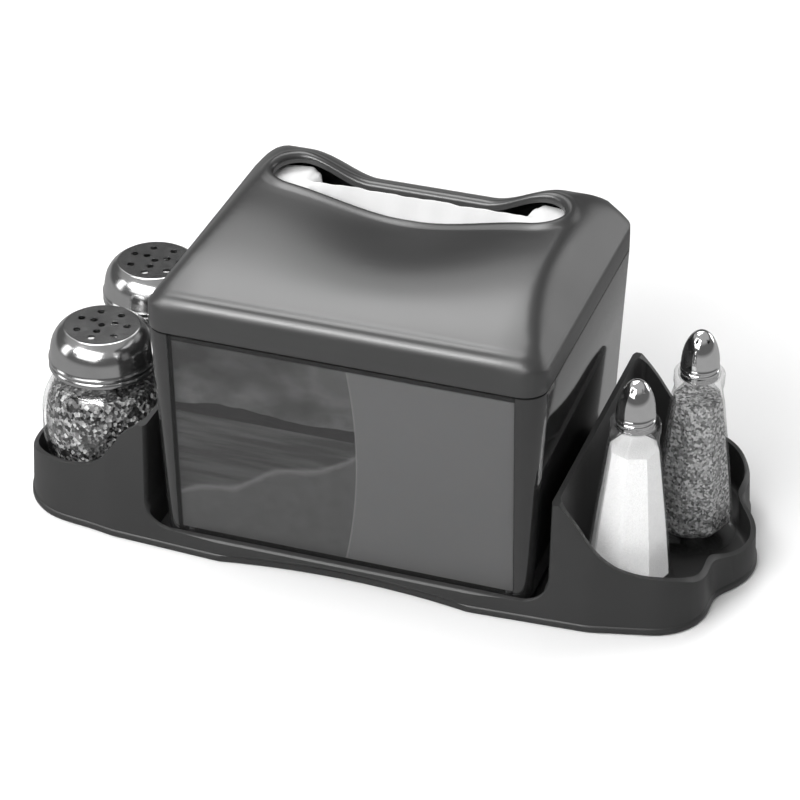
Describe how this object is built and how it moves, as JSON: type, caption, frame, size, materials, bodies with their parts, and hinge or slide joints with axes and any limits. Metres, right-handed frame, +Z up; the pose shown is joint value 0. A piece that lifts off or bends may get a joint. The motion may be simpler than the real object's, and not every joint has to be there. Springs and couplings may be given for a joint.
{
  "type": "napkin dispenser",
  "caption": "Tabletop napkin dispenser with a saddle cover and picture panel, standing in a condiment caddy with glass shakers.",
  "frame": {"origin": "on the table, under the middle of the dispenser and of the caddy's middle foot", "axes": "+X along the caddy towards the tower shakers, +Y towards the hinge at the back, +Z up"},
  "size_m": [0.3655, 0.1661, 0.1618],
  "materials": {
    "caddy_plastic": "moulded, satin",
    "cover_plastic": "moulded, polished slope with textured end facets",
    "smoked_plastic": "smoked see-through, polished",
    "inner_plastic": "moulded, matt",
    "rubber": "matt",
    "paper": "soft tissue",
    "printed_card": "printed, satin",
    "polished_steel": "polished",
    "spring_steel": "drawn wire",
    "chrome": "mirror",
    "glass": "clear pressed glass",
    "dried_flakes": "loose dried flakes",
    "salt": "fine grains",
    "ground_pepper": "fine grains"
  },
  "bodies": {
    "caddy": {"caddy_tray": "caddy_plastic", "caddy_foot_1": "rubber", "caddy_foot_2": "rubber", "caddy_foot_3": "rubber", "caddy_foot_4": "rubber", "caddy_foot_5": "rubber"},
    "dispenser": {"body_shell": "smoked_plastic", "base_plate": "inner_plastic", "base_screw_1": "polished_steel", "base_screw_2": "polished_steel", "base_screw_3": "polished_steel", "base_screw_4": "polished_steel", "body_foot_1": "rubber", "body_foot_2": "rubber", "body_foot_3": "rubber", "body_foot_4": "rubber", "advert_card": "printed_card", "card_retainer": "inner_plastic", "hinge_pin": "polished_steel", "lift_spring": "spring_steel"},
    "cover": {"cover": "cover_plastic"},
    "platform": {"follower_plate": "inner_plastic", "napkin_stack": "paper", "first_napkin": "paper"},
    "front_jar": {"jar_front": "glass", "flakes_front": "dried_flakes"},
    "front_lid": {"jar_lid_front": "polished_steel"},
    "rear_jar": {"jar_rear": "glass", "flakes_rear": "dried_flakes"},
    "rear_lid": {"jar_lid_rear": "polished_steel"},
    "salt_shaker": {"salt_bottle": "glass", "salt_fill": "salt"},
    "salt_top": {"salt_cap": "chrome"},
    "pepper_shaker": {"pepper_bottle": "glass", "pepper_fill": "ground_pepper"},
    "pepper_top": {"pepper_cap": "chrome"}
  },
  "joints": [
    {"name": "dispenser_lift", "type": "slide", "parent": "caddy", "child": "dispenser", "axis": [0, 0, 1], "range_m": [0, 0.09]},
    {"name": "cover_hinge", "type": "hinge", "parent": "dispenser", "child": "cover", "pos_m": [0, 0.0834, 0.1266], "axis": [-1, 0, 0], "range_deg": [0, 105]},
    {"name": "platform_rise", "type": "slide", "parent": "dispenser", "child": "platform", "axis": [0, 0, 1], "range_m": [-0.04, 0], "stiffness_N_per_m": 160, "springref_m": 0.13, "deforming": ["lift_spring"]},
    {"name": "front_jar_lift", "type": "slide", "parent": "caddy", "child": "front_jar", "axis": [0, 0, 1], "range_m": [0, 0.09]},
    {"name": "front_lid_lift", "type": "slide", "parent": "front_jar", "child": "front_lid", "axis": [0, 0, 1], "range_m": [0, 0.03]},
    {"name": "rear_jar_lift", "type": "slide", "parent": "caddy", "child": "rear_jar", "axis": [0, 0, 1], "range_m": [0, 0.09]},
    {"name": "rear_lid_lift", "type": "slide", "parent": "rear_jar", "child": "rear_lid", "axis": [0, 0, 1], "range_m": [0, 0.03]},
    {"name": "salt_lift", "type": "slide", "parent": "caddy", "child": "salt_shaker", "axis": [0, 0, 1], "range_m": [0, 0.09]},
    {"name": "salt_cap_lift", "type": "slide", "parent": "salt_shaker", "child": "salt_top", "axis": [0, 0, 1], "range_m": [0, 0.03]},
    {"name": "pepper_lift", "type": "slide", "parent": "caddy", "child": "pepper_shaker", "axis": [0, 0, 1], "range_m": [0, 0.09]},
    {"name": "pepper_cap_lift", "type": "slide", "parent": "pepper_shaker", "child": "pepper_top", "axis": [0, 0, 1], "range_m": [0, 0.03]}
  ]
}
